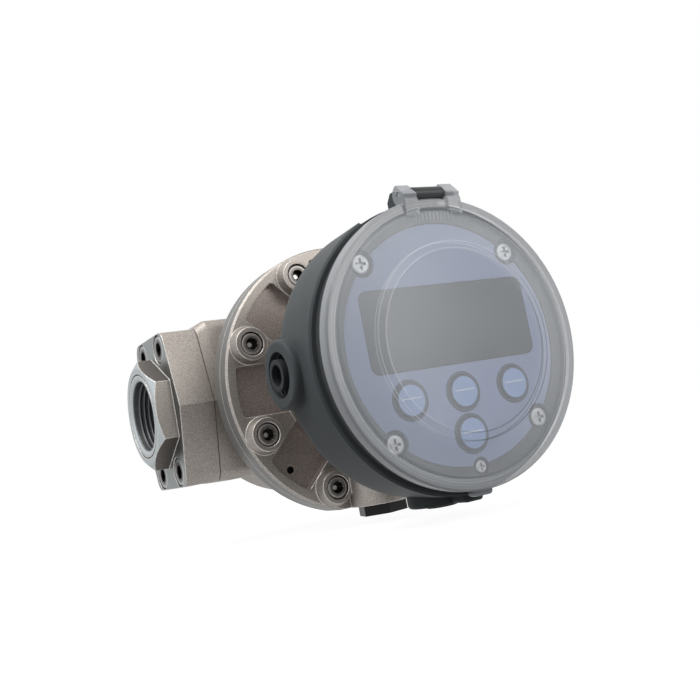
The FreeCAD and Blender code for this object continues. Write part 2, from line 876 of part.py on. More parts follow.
def register_neck():
    """The short cup under the bowl that is screwed to the cap's hub."""
    neck = turned([
        (0, housing_back_z),
        (neck_r, housing_back_z),
        (neck_r, neck_top_z),
        (neck_well_r, neck_top_z),
        (neck_well_r, neck_floor_z),
        (0, neck_floor_z),
    ])
    for x, y in neck_screw_places():
        neck = neck.cut(through_hole(m5_pan, x, y, housing_back_z, neck_floor_z))
    return neck.cut(rod_between(wire_passage_r, 0, 0, housing_back_z, neck_floor_z))


def neck_screws():
    length = neck_floor_z - hub_top_z + neck_screw_grip
    return [pan_screw(m5_pan, x, y, neck_floor_z, length) for x, y in neck_screw_places()]


def bowl_outside():
    """The bowl filled: dished back, rolled shoulder, drafted wall, lip and spigot."""
    back_z = neck_top_z + back_rise
    shoulder_middle = (housing_shoulder_r - shoulder_bulge_r, housing_shoulder_z - shoulder_bulge_z)
    return turned([
        (0, neck_top_z),
        (neck_r, neck_top_z),
        (housing_back_r, back_z),
        (shoulder_middle, (housing_shoulder_r, housing_shoulder_z)),
        (housing_lip_r, housing_lip_z - lip_chamfer),
        (housing_lip_r - lip_chamfer, housing_lip_z),
        (housing_spigot_r, housing_lip_z),
        (housing_spigot_r, bezel_back_z),
        (0, bezel_back_z),
    ])


def bowl_inside():
    """The hollow of the bowl, which narrows in front to the seal's land."""
    wall = housing_wall
    inner_r = housing_shoulder_r - wall
    back_z = neck_top_z + back_rise + wall
    seal_r = housing_spigot_r - seal_land
    land_z = housing_lip_z - seal_land_height
    middle = (housing_shoulder_r - shoulder_bulge_r - inner_bulge_r * wall,
              housing_shoulder_z - shoulder_bulge_z + inner_bulge_z * wall)
    return turned([
        (0, neck_top_z),
        (neck_well_r, neck_top_z),
        (neck_well_r, neck_top_z + wall),
        (housing_back_r - back_inner_inset, back_z),
        (middle, (inner_r, housing_shoulder_z + inner_shoulder_rise)),
        (inner_r, land_z - seal_land_slope),
        (seal_r, land_z),
        (seal_r, bezel_back_z),
        (0, bezel_back_z),
    ])


def conduit_boss(along):
    """A boss with a rounded mouth, which runs on inside the wall as a sleeve."""
    length = conduit_sleeve_length
    start = along * (conduit_boss_reach - length) + z_out * conduit_boss_z
    boss = rod(conduit_boss_r, start, length, along)
    mouth = [edge for edge in boss.Edges if (edge.CenterOfMass - start).Length > length - tiny]
    boss = boss.makeFillet(conduit_mouth_round, mouth)
    return boss, rod(conduit_bore_r, start, length, along)


def hinge_relief():
    """The lip is turned down a little to both sides of the hinge."""
    band = ring(2 * housing_lip_r, hinge_relief_r, housing_shoulder_z, housing_lip_z)
    x, y = on_circle(2 * housing_lip_r, 90 - hinge_relief_angle)
    corners = [Vector(px, py, housing_shoulder_z) for px, py in ((0, 0), (x, y), (-x, y))]
    return band.common(prism(corners, z_out * (housing_lip_z - housing_shoulder_z)))


def hinge_lug():
    lug = block(
        (-hinge_lug_half_width, hinge_lug_half_width),
        (housing_shoulder_r - hinge_lug_root, hinge_lug_y),
        (housing_lip_z - hinge_lug_depth, housing_lip_z),
    )
    back_edges = [
        edge for edge in lug.Edges
        if edge.BoundBox.YMin > hinge_lug_y - tiny and edge.BoundBox.ZMax < housing_lip_z - tiny
    ]
    return lug.makeChamfer(hinge_lug_chamfer, back_edges)


def catch():
    """The nose under the register that the lid's tab reaches down to."""
    front_z = housing_lip_z - catch_front_drop
    nose = block(
        (-catch_half_width, catch_half_width),
        (-catch_reach, catch_root - housing_shoulder_r),
        (front_z - catch_depth, front_z),
    )
    return nose.makeFillet(catch_corner_r, lowest_upright_edges(nose))


def lowest_upright_edges(shape):
    """The two edges along z at a block's lowest face."""
    low_y = shape.BoundBox.YMin
    return [
        edge for edge in shape.Edges
        if edge.BoundBox.YMax < low_y + tiny and edge.BoundBox.ZLength > tiny
    ]


def conduit_directions():
    return {"left": x_out * -1, "right": x_out, "bottom": y_up * -1}


def register_housing():
    shell = bowl_outside().cut(hinge_relief()).fuse(catch()).fuse(hinge_lug())
    shell = shell.cut(bowl_inside())
    for along in conduit_directions().values():
        boss, bore = conduit_boss(along)
        shell = shell.fuse(boss).cut(bore)
    return shell.cut(oring_groove(housing_seal_r, housing_seal_section, bezel_back_z))


def register_pillars():
    """Four pillars for the bezel's screws and four posts for the circuit board's."""
    inside = bowl_inside()
    pillars = []
    for x, y in facia_screw_places():
        pillar = rod_between(pillar_r, x, y, neck_top_z, bezel_back_z).common(inside)
        pillars.append(pillar.cut(screw_hole(m4_pan, x, y, bezel_back_z, bezel_screw_grip + tapped_spare)))
    for x, y in board_screw_places():
        post = rod_between(board_post_r, x, y, neck_top_z, board_back_z).common(inside)
        pillars.append(post.cut(screw_hole(m3_pan, x, y, board_back_z, board_screw_grip + tapped_spare)))
    return pillars


def conduit_plug(along):
    """A threaded disc deep in the boss with a hollow stem that ends just past the mouth."""
    axis = z_out * conduit_boss_z
    face = conduit_boss_reach - plug_recess_depth
    stem_length = plug_recess_depth + plug_stem_proud
    disc = rod(conduit_bore_r - conduit_plug_clearance, along * (face - plug_disc_thickness) + axis,
               plug_disc_thickness, along)
    stem = rod(plug_stem_r, along * face + axis, stem_length, along)
    hole = rod(plug_stem_r - plug_stem_wall, along * face + axis, stem_length, along)
    return disc.fuse(stem.cut(hole))


# Bezel, facia, display and keys

def hinge_barrel():
    """The fixed eye: a barrel on the hinge axis, carried back over the bezel's top."""
    half = hinge_inner_x - barrel_side_gap
    top = hinge_y + hinge_barrel_r
    eye = rod(hinge_barrel_r, (-half, hinge_y, hinge_z), 2 * half, x_out)
    arm = block((-half, half), (hinge_y - hinge_barrel_web, top), (bezel_back_z, hinge_z))
    root = block((-half, half), (bezel_deck_r, top), (bezel_back_z, bezel_front_z))
    hole = rod(hinge_pin_r + hinge_pin_grip, (-half, hinge_y, hinge_z), 2 * half, x_out)
    return eye.fuse(arm).fuse(root).cut(hole)


def bezel_ring():
    chamfer = bezel_edge_chamfer
    bezel = turned([
        (bezel_opening_r, bezel_back_z),
        (bezel_r, bezel_back_z),
        (bezel_r, bezel_front_z - chamfer),
        (bezel_r - chamfer, bezel_front_z),
        (bezel_deck_r, bezel_front_z),
        (bezel_deck_r, deck_z - chamfer),
        (bezel_deck_r - chamfer, deck_z),
        (facia_r + facia_gap, deck_z),
        (facia_r + facia_gap, facia_back_z),
        (bezel_opening_r, facia_back_z),
    ])
    bezel = bezel.fuse(hinge_barrel())
    for x, y in facia_screw_places():
        bezel = bezel.cut(rod_between(screw_recess_r, x, y, screw_seat_z, deck_z))
        bezel = bezel.cut(through_hole(m4_pan, x, y, bezel_back_z, screw_seat_z))
    x, y = seal_screw_x, seal_screw_y
    bezel = bezel.cut(rod_between(seal_recess_r, x, y, seal_seat_z, deck_z))
    return bezel.cut(screw_hole(m3_pan, x, y, bezel_back_z + seal_screw_floor + seal_hole_depth,
                                seal_hole_depth))


def facia_plate():
    low = facia_back_z
    high = facia_front_z
    plate = rod_between(facia_r, 0, 0, low, high)
    plate = plate.cut(rounded_plate(window_width, window_height, window_corner_r, window_y, low, high))
    for x, y in facia_screw_places():
        plate = plate.cut(rod_between(screw_recess_r + facia_hole_margin, x, y, low, high))
    seal_r = seal_recess_r + facia_hole_margin
    plate = plate.cut(rod_between(seal_r, seal_screw_x, seal_screw_y, low, high))
    for x, y in keys.values():
        plate = plate.cut(rod_between(key_hole_r, x, y, low, high))
    return plate


def display_window():
    return rounded_plate(window_width - 2 * window_gap, window_height - 2 * window_gap,
                         window_corner_r - window_gap, window_y, facia_back_z, facia_front_z - window_sink)


def lcd_module():
    half_width = window_width / 2 - lcd_side_margin
    half_height = (window_height + lcd_height_extra) / 2
    return block((-half_width, half_width), (window_y - half_height, window_y + half_height),
                 (lcd_front_z - lcd_depth, lcd_front_z))


def key_seal():
    """One moulded membrane behind the facia, with a collar round each key."""
    back_z = key_seal_z - key_seal_thickness
    bridge = (upper_key_y - key_bridge_half_width, upper_key_y + key_bridge_half_width)
    mat = block((-upper_key_x, upper_key_x), bridge, (back_z, key_seal_z))
    for x, y in keys.values():
        mat = mat.fuse(rod_between(key_hole_r + key_pad_margin, x, y, back_z, key_seal_z))
        collar_z = facia_front_z - key_seal_recess
        mat = mat.fuse(rod_between(key_hole_r - key_collar_gap, x, y, back_z, collar_z))
    for x, y in keys.values():
        mat = mat.cut(rod_between(key_r + key_gap, x, y, back_z, facia_front_z))
    return mat


def key(x, y):
    """A round key with a stem that ends its travel above the board's switch."""
    cap = rod_between(key_r, x, y, key_back_z, key_front_z)
    rim = [edge for edge in cap.Edges if edge.BoundBox.ZMin > key_front_z - tiny]
    stem_z = board_front_z + switch_height + key_travel + key_stem_gap
    stem = rod_between(key_stem_r, x, y, stem_z, key_back_z)
    return cap.makeFillet(key_edge_r, rim).fuse(stem)


def bezel_screws():
    length = screw_seat_z - bezel_back_z + bezel_screw_grip
    return [pan_screw(m4_pan, x, y, screw_seat_z, length) for x, y in facia_screw_places()]


def seal_screw():
    return pan_screw(m3_pan, seal_screw_x, seal_screw_y, seal_seat_z, seal_screw_length)


# Circuit board and what hangs under it

def circuit_board():
    board = rod(board_r, (0, 0, board_back_z), board_thickness)
    half = switch_half_width
    top = (board_front_z, board_front_z + switch_height)
    for x, y in keys.values():
        board = board.fuse(block((x - half, x + half), (y - half, y + half), top))
    for x, y in board_screw_places():
        board = board.cut(through_hole(m3_pan, x, y, board_back_z, board_front_z))
    return board


def board_screws():
    length = board_thickness + board_screw_grip
    return [pan_screw(m3_pan, x, y, board_front_z, length) for x, y in board_screw_places()]


def battery_pack():
    """Two cells side by side in a tray hung under the circuit board."""
    wall = battery_wall
    half = board_r - battery_side_inset
    low_y, top_y = battery_low_y, board_r - battery_top_inset
    low_z = board_back_z - battery_depth
    tray = block((-half, half), (low_y, top_y), (low_z, board_back_z))
    well = block((wall - half, half - wall), (low_y + wall, top_y - wall), (low_z, board_back_z - wall))
    pack = tray.cut(well)
    spacing = (top_y - low_y) / 2 - wall
    for sy in (-1, 1):
        y = (low_y + top_y + sy * spacing) / 2
        start = (wall / 2 - half, y, board_back_z - wall - spacing / 2)
        pack = pack.fuse(rod(spacing / 2 + cell_overlap, start, 2 * half - wall, x_out))
    return pack


def terminal_block():
    half = board_r - terminal_side_inset
    low_z = board_back_z - terminal_depth
    y = (terminal_y - terminal_height / 2, terminal_y + terminal_height / 2)
    housing = block((-half, half), y, (low_z, board_back_z))
    pitch = 2 * half / terminal_count
    for k in range(terminal_count):
        start = (pitch * (k + 0.5) - half, terminal_y, low_z)
        housing = housing.cut(rod(terminal_hole_r, start, terminal_hole_depth))
    return housing


# Lid

def lid_shell():
    """Rim, groove, dished flank, stepped ring and flat lens, as one clear moulding."""
    inner_r = lid_r - lid_rim_wall
    chamfer = lid_edge_chamfer
    flank_z = lens_z - lens_step
    groove_z = lid_front_z - lid_groove_depth
    return turned([
        (0, lens_z - lid_wall),
        (lens_r - lens_back_inset, lens_z - lid_wall),
        (lens_ring_r - lens_back_inset, flank_z - lid_wall),
        (lid_groove_r - lid_groove_back, groove_z - lid_groove_floor),
        (inner_r, groove_z - lid_rim_step),
        (inner_r, lid_back_z),
        (lid_r, lid_back_z),
        (lid_r, lid_front_z - chamfer),
        (lid_r - chamfer, lid_front_z),
        (lid_groove_r + chamfer, lid_front_z),
        (lid_groove_r, groove_z),
        (lid_groove_r - chamfer, lid_front_z + lid_flank_start),
        (lens_ring_r, flank_z),
        (lens_r, lens_z),
        (0, lens_z),
    ])


def lid_ear(side):
    """A hinge eye outside the barrel, bevelled on top, whose arm runs over the rim."""
    x_low = hinge_inner_x if side > 0 else -hinge_outer_x
    width = hinge_outer_x - hinge_inner_x
    eye = rod(hinge_eye_r, (x_low, hinge_y, hinge_z), width, x_out)
    reach = 3 * hinge_eye_r
    tool = block((x_low, x_low + width), (-reach, reach), (hinge_eye_bevel, reach))
    tool = tool.rotated(Vector(0, 0, 0), x_out, -45).translated(Vector(0, hinge_y, hinge_z))
    top_z = lid_front_z + ear_rise
    root_y = lid_r - lid_rim_wall + ear_root
    rib_y = lid_r - ear_rib_inset
    arm = [
        (root_y, lid_back_z),
        (hinge_y, lid_back_z),
        (hinge_y, hinge_z + hinge_eye_bevel),
        (lid_r - ear_nose, top_z),
        (rib_y, top_z - ear_rib_drop),
        (rib_y, lid_front_z - ear_rib_root),
        (root_y, hinge_z + ear_root_rise),
    ]
    return eye.cut(tool).fuse(prism([Vector(x_low, y, z) for y, z in arm], x_out * width))


def lid_tab():
    """The finger tab at the bottom of the rim, over the housing's catch."""
    low_z = lid_back_z - lid_tab_overhang
    tab = block((-lid_tab_half_width, lid_tab_half_width), (-lid_tab_reach, -bezel_r - lid_gap),
                (low_z, low_z + lid_tab_length))
    return tab.makeFillet(lid_tab_corner_r, lowest_upright_edges(tab))


def lid():
    room = rod(hinge_barrel_r + barrel_side_gap, (-hinge_inner_x, hinge_y, hinge_z), 2 * hinge_inner_x, x_out)
    cover = lid_shell().cut(room)
    for side in (-1, 1):
        cover = cover.fuse(lid_ear(side))
    hole = rod(hinge_pin_r + hinge_pin_clearance, (-hinge_outer_x, hinge_y, hinge_z), 2 * hinge_outer_x, x_out)
    return cover.fuse(lid_tab()).cut(hole)


def hinge_pin():
    half = hinge_outer_x - hinge_pin_inset
    return rod(hinge_pin_r, (-half, hinge_y, hinge_z), 2 * half, x_out)


# Assembly

def save(name, shapes):
    """Places the pieces of one node in the part's frame and writes them."""
    group = shapes if isinstance(shapes, list) else [shapes]
    solids = [solid for shape in group for solid in shape.Solids]
    node = solids[0] if len(solids) == 1 else Part.Compound(solids)
    frame = Placement(Vector(half_length - port_mouth_depth, 0, 0), Rotation(x_out, 90))
    node.Placement = frame.multiply(node.Placement)
    node.exportStep("parts/" + name + ".step")


def main():
    os.makedirs("parts", exist_ok=True)
    save("measuring_body", measuring_body())
    save("body_cap", body_cap())
    save("cap_oring", oring(cap_oring_r, cap_oring_section, seam_z))
    save("cap_screws", cap_screws())
    save("cap_conduit_plug", cap_conduit_plug())
    save("pulse_sensor_board", pulse_sensor_board())

    end = adaptor()
    save("outlet_adaptor", end)
    save("inlet_adaptor", to_inlet(end))
    save("outlet_adaptor_screws", adaptor_screws())
    save("inlet_adaptor_screws", [to_inlet(screw) for screw in adaptor_screws()])
    save("outlet_oring", adaptor_oring())
    save("inlet_oring", to_inlet(adaptor_oring()))

    save("lower_oval_gear", oval_gear(-gear_y, 90))
    save("upper_oval_gear", oval_gear(gear_y, 0))
    save("lower_gear_bush", gear_bush(-gear_y))
    save("upper_gear_bush", gear_bush(gear_y))
    save("lower_gear_shaft", gear_shaft(-gear_y))
    save("upper_gear_shaft", gear_shaft(gear_y))
    save("gear_magnets", gear_magnets(gear_y))

    save("neck_gasket", neck_gasket())
    save("neck_screws", neck_screws())
    save("register_neck", register_neck())
    save("register_housing", register_housing())
    save("register_pillars", register_pillars())
    save("housing_gasket", oring(housing_seal_r, housing_seal_section, bezel_back_z))
    for name, along in conduit_directions().items():
        save(name + "_conduit_plug", conduit_plug(along))
    save("circuit_board", circuit_board())
    save("board_screws", board_screws())
    save("battery_pack", battery_pack())
    save("terminal_block", terminal_block())

    save("bezel_ring", bezel_ring())
    save("bezel_screws", bezel_screws())
    save("seal_screw", seal_screw())
    save("facia_plate", facia_plate())
    save("display_window", display_window())
    save("lcd_module", lcd_module())
    save("key_seal", key_seal())
    for name, (x, y) in keys.items():
        save(name, key(x, y))
    save("lid", lid())
    save("hinge_pin", hinge_pin())


main()
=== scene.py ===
import math

import bmesh
import bpy
import numpy as np
from mathutils import Matrix, Vector


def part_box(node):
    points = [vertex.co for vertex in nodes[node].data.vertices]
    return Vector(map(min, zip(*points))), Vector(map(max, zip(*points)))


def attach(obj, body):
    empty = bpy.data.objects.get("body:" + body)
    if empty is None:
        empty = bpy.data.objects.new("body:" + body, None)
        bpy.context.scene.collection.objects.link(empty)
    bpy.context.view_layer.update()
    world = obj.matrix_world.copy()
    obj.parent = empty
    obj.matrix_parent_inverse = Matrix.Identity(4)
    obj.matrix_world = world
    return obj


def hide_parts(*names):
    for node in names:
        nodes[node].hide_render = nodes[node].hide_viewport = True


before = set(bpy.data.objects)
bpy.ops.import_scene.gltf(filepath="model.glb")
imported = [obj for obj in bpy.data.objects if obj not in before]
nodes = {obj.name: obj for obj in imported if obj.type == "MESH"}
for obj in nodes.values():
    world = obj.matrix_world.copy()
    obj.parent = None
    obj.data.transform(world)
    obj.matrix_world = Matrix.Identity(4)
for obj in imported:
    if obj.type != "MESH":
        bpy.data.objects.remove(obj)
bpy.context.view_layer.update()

print("frame loaded:", len(nodes), "nodes")

# the dial's axis runs along Y through dialX and z = 0; the other values are depths towards the reader
meter = {"dialX": 0.0843, "capFace": 0.0542, "pocketFloor": 0.0499, "seam": 0.0467}


class Wire:
    # one output socket inside a material, so that shader maths reads as an expression
    def __init__(self, tree, socket=None):
        self.tree = tree
        self.socket = socket

    def node(self, kind, out=0, settings=None, stops=None, **inputs):
        # makes any node: settings first, then a ramp's stops, then values or links by socket name
        made = self.tree.nodes.new(kind)
        for name, value in (settings or {}).items():
            setattr(made, name, value)
        if stops:
            ramp = made.color_ramp
            while len(ramp.elements) < len(stops):
                ramp.elements.new(0.5)
            for element, (place, colour) in zip(ramp.elements, stops):
                element.position = place
                element.color = (*colour, 1.0)
        for name, value in inputs.items():
            key = int(name[1:]) if name[0] == "i" and name[1:].isdigit() else name.replace("_", " ")
            target = made.inputs[key]
            if isinstance(value, Wire):
                self.tree.links.new(value.socket, target)
            else:
                target.default_value = value
        return Wire(self.tree, made.outputs[out]) if len(made.outputs) else None

    def maths(self, operation, other=0.0):
        return self.node("ShaderNodeMath", settings={"operation": operation}, i0=self, i1=other)

    def __add__(self, other):
        return self.maths("ADD", other)

    def __radd__(self, other):
        return self.maths("ADD", other)

    def __sub__(self, other):
        return self.maths("SUBTRACT", other)

    def __rsub__(self, other):
        return self.node("ShaderNodeMath", settings={"operation": "SUBTRACT"}, i0=other, i1=self)

    def __mul__(self, other):
        return self.maths("MULTIPLY", other)

    def __rmul__(self, other):
        return self.maths("MULTIPLY", other)

    def above(self, level, soft):
        # 0 below level, 1 above it, with a smooth step soft wide
        return self.node("ShaderNodeMapRange", settings={"interpolation_type": "SMOOTHSTEP"},
                         Value=self, From_Min=level - soft / 2, From_Max=level + soft / 2)

    def between(self, low, high, soft):
        return self.above(low, soft) * (1.0 - self.above(high, soft))

    def blend(self, first, second):
        # a colour that goes from first to second as this value goes from 0 to 1
        made = self.tree.nodes.new("ShaderNodeMix")
        made.data_type = "RGBA"
        self.tree.links.new(self.socket, made.inputs[0])
        for place, value in ((6, first), (7, second)):
            if isinstance(value, Wire):
                self.tree.links.new(value.socket, made.inputs[place])
            else:
                made.inputs[place].default_value = (*value, 1.0)
        return Wire(self.tree, made.outputs[2])

    def noise(self, scale, detail=2.0, rough=0.5):
        return self.node("ShaderNodeTexNoise", Vector=self, Scale=scale, Detail=detail, Roughness=rough)


def newFinish(name, constants):
    # an empty Principled material: returns the material, its start wire and the shader node
    made = bpy.data.materials.new(name)
    made.use_nodes = True
    shader = made.node_tree.nodes["Principled BSDF"]
    for socketName, value in constants.items():
        shader.inputs[socketName].default_value = value
    return made, Wire(made.node_tree), shader


def drive(shader, **links):
    for name, wire in links.items():
        wire.tree.links.new(wire.socket, shader.inputs[name.replace("_", " ")])


def objectPlace(wire):
    return wire.node("ShaderNodeTexCoord", out="Object")


def dialPolar(wire, place):
    # distance from the dial's axis, depth towards the reader, and x and z from that axis, in metres
    outputs = place.node("ShaderNodeSeparateXYZ", Vector=place).socket.node.outputs
    x, y, z = (Wire(wire.tree, output) for output in outputs)
    x = x - meter["dialX"]
    return (x * x + z * z).maths("SQRT"), y * -1.0, x, z


def facing(wire):
    # how far the surface faces along X, Y and Z, each from 0 to 1
    sides = wire.node("ShaderNodeSeparateXYZ", Vector=wire.node("ShaderNodeTexCoord", out="Normal"))
    return [Wire(wire.tree, output).maths("ABSOLUTE") for output in sides.socket.node.outputs]


def bumped(height, strength, distance, **more):
    return height.node("ShaderNodeBump", Height=height, Strength=strength, Distance=distance, **more)


def roundedEdges(wire, radius):
    return wire.node("ShaderNodeBevel", settings={"samples": 6}, Radius=radius)


def wornEdge(wire, rounded, level, soft):
    # 1 where the rounded normal leans away from the flat one: 1 - rounded . flat, above a level
    flat = wire.node("ShaderNodeNewGeometry", out="Normal")
    same = rounded.node("ShaderNodeVectorMath", out="Value", settings={"operation": "DOT_PRODUCT"},
                        i0=rounded, i1=flat)
    return (1.0 - same).above(level, soft)


def layered(colour, layers):
    # each layer is a mask, how strongly it covers and its colour, and lies over those before it
    for mask, strength, over in layers:
        colour = (mask * strength).blend(colour, over)
    return colour


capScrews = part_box("cap_screws")
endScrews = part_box("inlet_adaptor_screws")
# the cap's screws stand on one circle, half a step round from the pipe; the ends' at four corners
screwPlaces = {
    "step": math.radians(45.0), "capHeadR": 0.0050, "endHeadR": 0.0065, "endsFrom": 0.0600,
    "circleR": ((capScrews[1].x - capScrews[0].x) / 2 - 0.0050) / math.cos(math.radians(22.5)),
    "endY": (endScrews[1].y - endScrews[0].y) / 2 - 0.0065,
    "endZ": (endScrews[1].z - endScrews[0].z) / 2 - 0.0065,
}

castSteel = {
    # colours; the disc's side, shaded, bore and hole colours are painted shade, the seam colour marks a real
    # joint and is also painted shade, the end face colour is painted shade and cool reflection, the turned
    # colour paints a cool reflection on real machined faces, and the edge colour is partly wear, partly a
    # painted highlight
    "light": (0.430, 0.396, 0.364), "dark": (0.215, 0.194, 0.178), "edge": (0.86, 0.83, 0.80),
    "pocket": (0.500, 0.425, 0.395), "pocketDark": (0.190, 0.158, 0.144),
    "discSide": (0.185, 0.188, 0.188), "turned": (0.470, 0.520, 0.545), "endFace": (0.290, 0.315, 0.320),
    "shaded": (0.088, 0.078, 0.072), "bore": (0.150, 0.155, 0.160), "seam": (0.070, 0.064, 0.058),
    "hole": (0.016, 0.010, 0.010),
    # the metal, and the scales of its slow tones, its speckle and its grain
    "metallic": 0.84, "roughness": 0.46, "grain": 0.00009,
    "slowScale": 55.0, "speckleScale": 1700.0, "grainScale": 2600.0,
    # out from the dial's axis
    "pocketInR": 0.0362, "pocketOutR": 0.0588, "pocketSoft": 0.0006, "discEdge": 0.0086,
    "weepR": 0.0018, "weepAngle": math.radians(225.0),
    # along the pipe, from the dial's axis
    "joint": 0.0604, "jointHalf": 0.0003, "flangeFace": 0.0765, "hexStart": 0.0778, "hexFace": 0.0822,
    # out from the pipe's axis, and depths
    "boreR": 0.0170, "ringR": 0.0200, "ringHalf": 0.00045, "behindHalf": 0.0215, "behindFrom": 0.014,
    "discFrom": 0.034, "edgeWidth": 0.0006,
}


def castSteelFinish():
    # blasted casting: fine speckle, slow tone changes, darker pockets, brighter edges that are partly wear and
    # partly a painted highlight, and turned faces at the two ends painted cooler and brighter as a painted
    # reflection;
    # painted shade on the disc's side, the hex's top and bottom facets, the flange's end faces, beside the
    # hex, in the groove round each port, in the bores and in the weep hole
    f = castSteel
    made, wire, shader = newFinish("castSteel", {})
    place = objectPlace(wire)
    r, depth, x, z = dialPolar(wire, place)
    facingX, facingY, facingZ = facing(wire)
    along = x.maths("ABSOLUTE")
    pipeR = (depth * depth + z * z).maths("SQRT")
    slow = place.noise(f["slowScale"], 3.0)
    speckle = place.noise(f["speckleScale"], 3.0, 0.7)
    tone = (slow * 0.5 + (speckle - 0.5) * 2.7 + 0.30).maths("MAXIMUM", 0.0).maths("MINIMUM", 1.0)

    soft = f["pocketSoft"]
    pocket = depth.between(meter["seam"] + 0.001, meter["capFace"] - soft, soft) \
        * r.between(f["pocketInR"], f["pocketOutR"], soft)
    onDisc = depth.above(f["discFrom"], 0.001)
    # painted shade: the disc's outer side, wherever it does not face along Y, painted a darker grey
    discSide = r.above(screwPlaces["circleR"] + f["discEdge"], 0.0004) \
        * (1.0 - facingY.above(0.5, 0.3)) * onDisc
    hexPart = along.above(f["hexStart"], 0.0003)
    # painted reflection: the real turned faces at both port ends painted brighter and bluer, standing in for a
    # cool reflection
    turned = along.above(f["hexFace"], 0.0003) * facingX.above(0.3, 0.2)
    # painted shade and painted reflection: the flange's end faces painted darker and bluer
    endFace = along.above(f["flangeFace"], 0.0003) * facingX.above(0.8, 0.2) * (1.0 - turned)
    shaded = hexPart * facingZ.above(0.72, 0.2) * (1.0 - turned)
    # painted shade: the ports' bores painted darker
    bore = (1.0 - pipeR.above(f["boreR"], 0.0002)) * along.above(f["joint"], 0.0004)
    # painted shade: a dark line in the groove round each port, in the seam colour
    ringed = pipeR.between(f["ringR"] - f["ringHalf"], f["ringR"] + f["ringHalf"], 0.0002) * hexPart
    # painted shade: the flange's end face darkened beside the hex, in the seam colour
    behindHex = endFace * depth.above(f["behindFrom"], 0.010) \
        * (1.0 - z.maths("ABSOLUTE").above(f["behindHalf"], 0.004))
    joint = along.between(f["joint"] - f["jointHalf"], f["joint"] + f["jointHalf"], 0.0002) * (1.0 - onDisc)
    # painted shade: the weep hole painted near black
    weepX = x - screwPlaces["circleR"] * math.cos(f["weepAngle"])
    weepZ = z - screwPlaces["circleR"] * math.sin(f["weepAngle"])
    weep = (1.0 - (weepX * weepX + weepZ * weepZ).maths("SQRT").above(f["weepR"], 0.0001)) \
        * (1.0 - depth.above(meter["pocketFloor"] - 0.0003, 0.0002))
    rounded = roundedEdges(wire, f["edgeWidth"])
    # bright edges: partly wear, partly a painted highlight
    edge = wornEdge(wire, rounded, 0.055, 0.07) * (1.0 - pocket) * (1.0 - joint)

    colour = layered(tone.blend(f["dark"], f["light"]), [
        (pocket, 0.85, tone.blend(f["pocketDark"], f["pocket"])),
        (discSide, 0.85, f["discSide"]),
        (shaded, 0.85, f["shaded"]),
        (endFace, 0.8, f["endFace"]),
        (turned, 0.8, f["turned"]),
        (behindHex, 0.75, f["seam"]),
        (ringed, 0.9, f["seam"]),
        (edge, speckle * 1.9 - 0.1, f["edge"]),
        (joint, 0.8, f["seam"]),
        (bore, 1.0, f["bore"]),
        (weep, 1.0, f["hole"]),
    ])
    roughness = speckle * 0.22 + (f["roughness"] - 0.06) - edge * 0.12
    drive(shader, Base_Color=colour, Roughness=roughness, Metallic=(1.0 - pocket * 0.35) * f["metallic"],
          Normal=bumped(place.noise(f["grainScale"], 4.0, 0.7), 0.6, f["grain"], Normal=rounded))
    return made


# the three shares are of a screw head's radius
# the socket colour is painted shade, the bright colour at a socket's bottom a painted glint, and the edge
# colour partly a painted highlight
socketSteel = {
    "colour": (0.480, 0.455, 0.435), "dull": (0.240, 0.225, 0.212), "edge": (0.66, 0.65, 0.64),
    "endHead": (0.420, 0.450, 0.470), "socket": (0.034, 0.029, 0.027), "band": (0.130, 0.120, 0.112),
    "spark": (0.95, 0.93, 0.90), "roughness": 0.40, "edgeWidth": 0.00035,
    "socketShare": 0.56, "bandShare": 0.76, "sparkShare": 0.21,
}


def socketSteelFinish():
    # socket screws: a socket painted dark as painted shade, with a painted glint at its bottom, a darker band
    # round it, and bright edges that are partly wear and partly a painted highlight
    f, at = socketSteel, screwPlaces
    made, wire, shader = newFinish("socketSteel", {"Metallic": 1.0})
    place = objectPlace(wire)
    r, depth, x, z = dialPolar(wire, place)

    # distance from the nearest cap screw: sqrt(r r + R R - 2 r R cos a), a the angle from that screw
    turn = z.maths("ARCTAN2", x) * (1.0 / at["step"])
    fold = (turn.maths("FRACT") + 1.0).maths("FRACT") - 0.5
    capAway = (r * r - (fold * at["step"]).maths("COSINE") * r * (2 * at["circleR"])
               + at["circleR"] ** 2).maths("MAXIMUM", 0.0).maths("SQRT")
    offY = depth.maths("ABSOLUTE") - at["endY"]
    offZ = z.maths("ABSOLUTE") - at["endZ"]
    endAway = (offY * offY + offZ * offZ).maths("SQRT")
    atEnds = x.maths("ABSOLUTE").above(at["endsFrom"], 0.0002)
    share = capAway * (1.0 / at["capHeadR"]) * (1.0 - atEnds) + endAway * (1.0 / at["endHeadR"]) * atEnds

    cloud = place.noise(520.0, 4.0, 0.6)
    rounded = roundedEdges(wire, f["edgeWidth"])
    colour = layered(cloud.blend(f["dull"], f["colour"]), [
        (atEnds, 0.8, f["endHead"]),
        (1.0 - share.above(f["bandShare"], 0.16), 0.8, f["band"]),
        (wornEdge(wire, rounded, 0.05, 0.06), 0.8, f["edge"]),
        (1.0 - share.above(f["socketShare"], 0.03), 1.0, f["socket"]),
        (1.0 - share.above(f["sparkShare"], 0.12), 1.0 - atEnds, f["spark"]),
    ])
    drive(shader, Base_Color=colour, Roughness=cloud * 0.2 + f["roughness"],
          Normal=bumped(place.noise(3200.0, 2.0), 0.25, 0.00004, Normal=rounded))
    return made


screwSteel = {"colour": (0.40, 0.41, 0.42), "dull": (0.22, 0.225, 0.23), "roughness": 0.40}


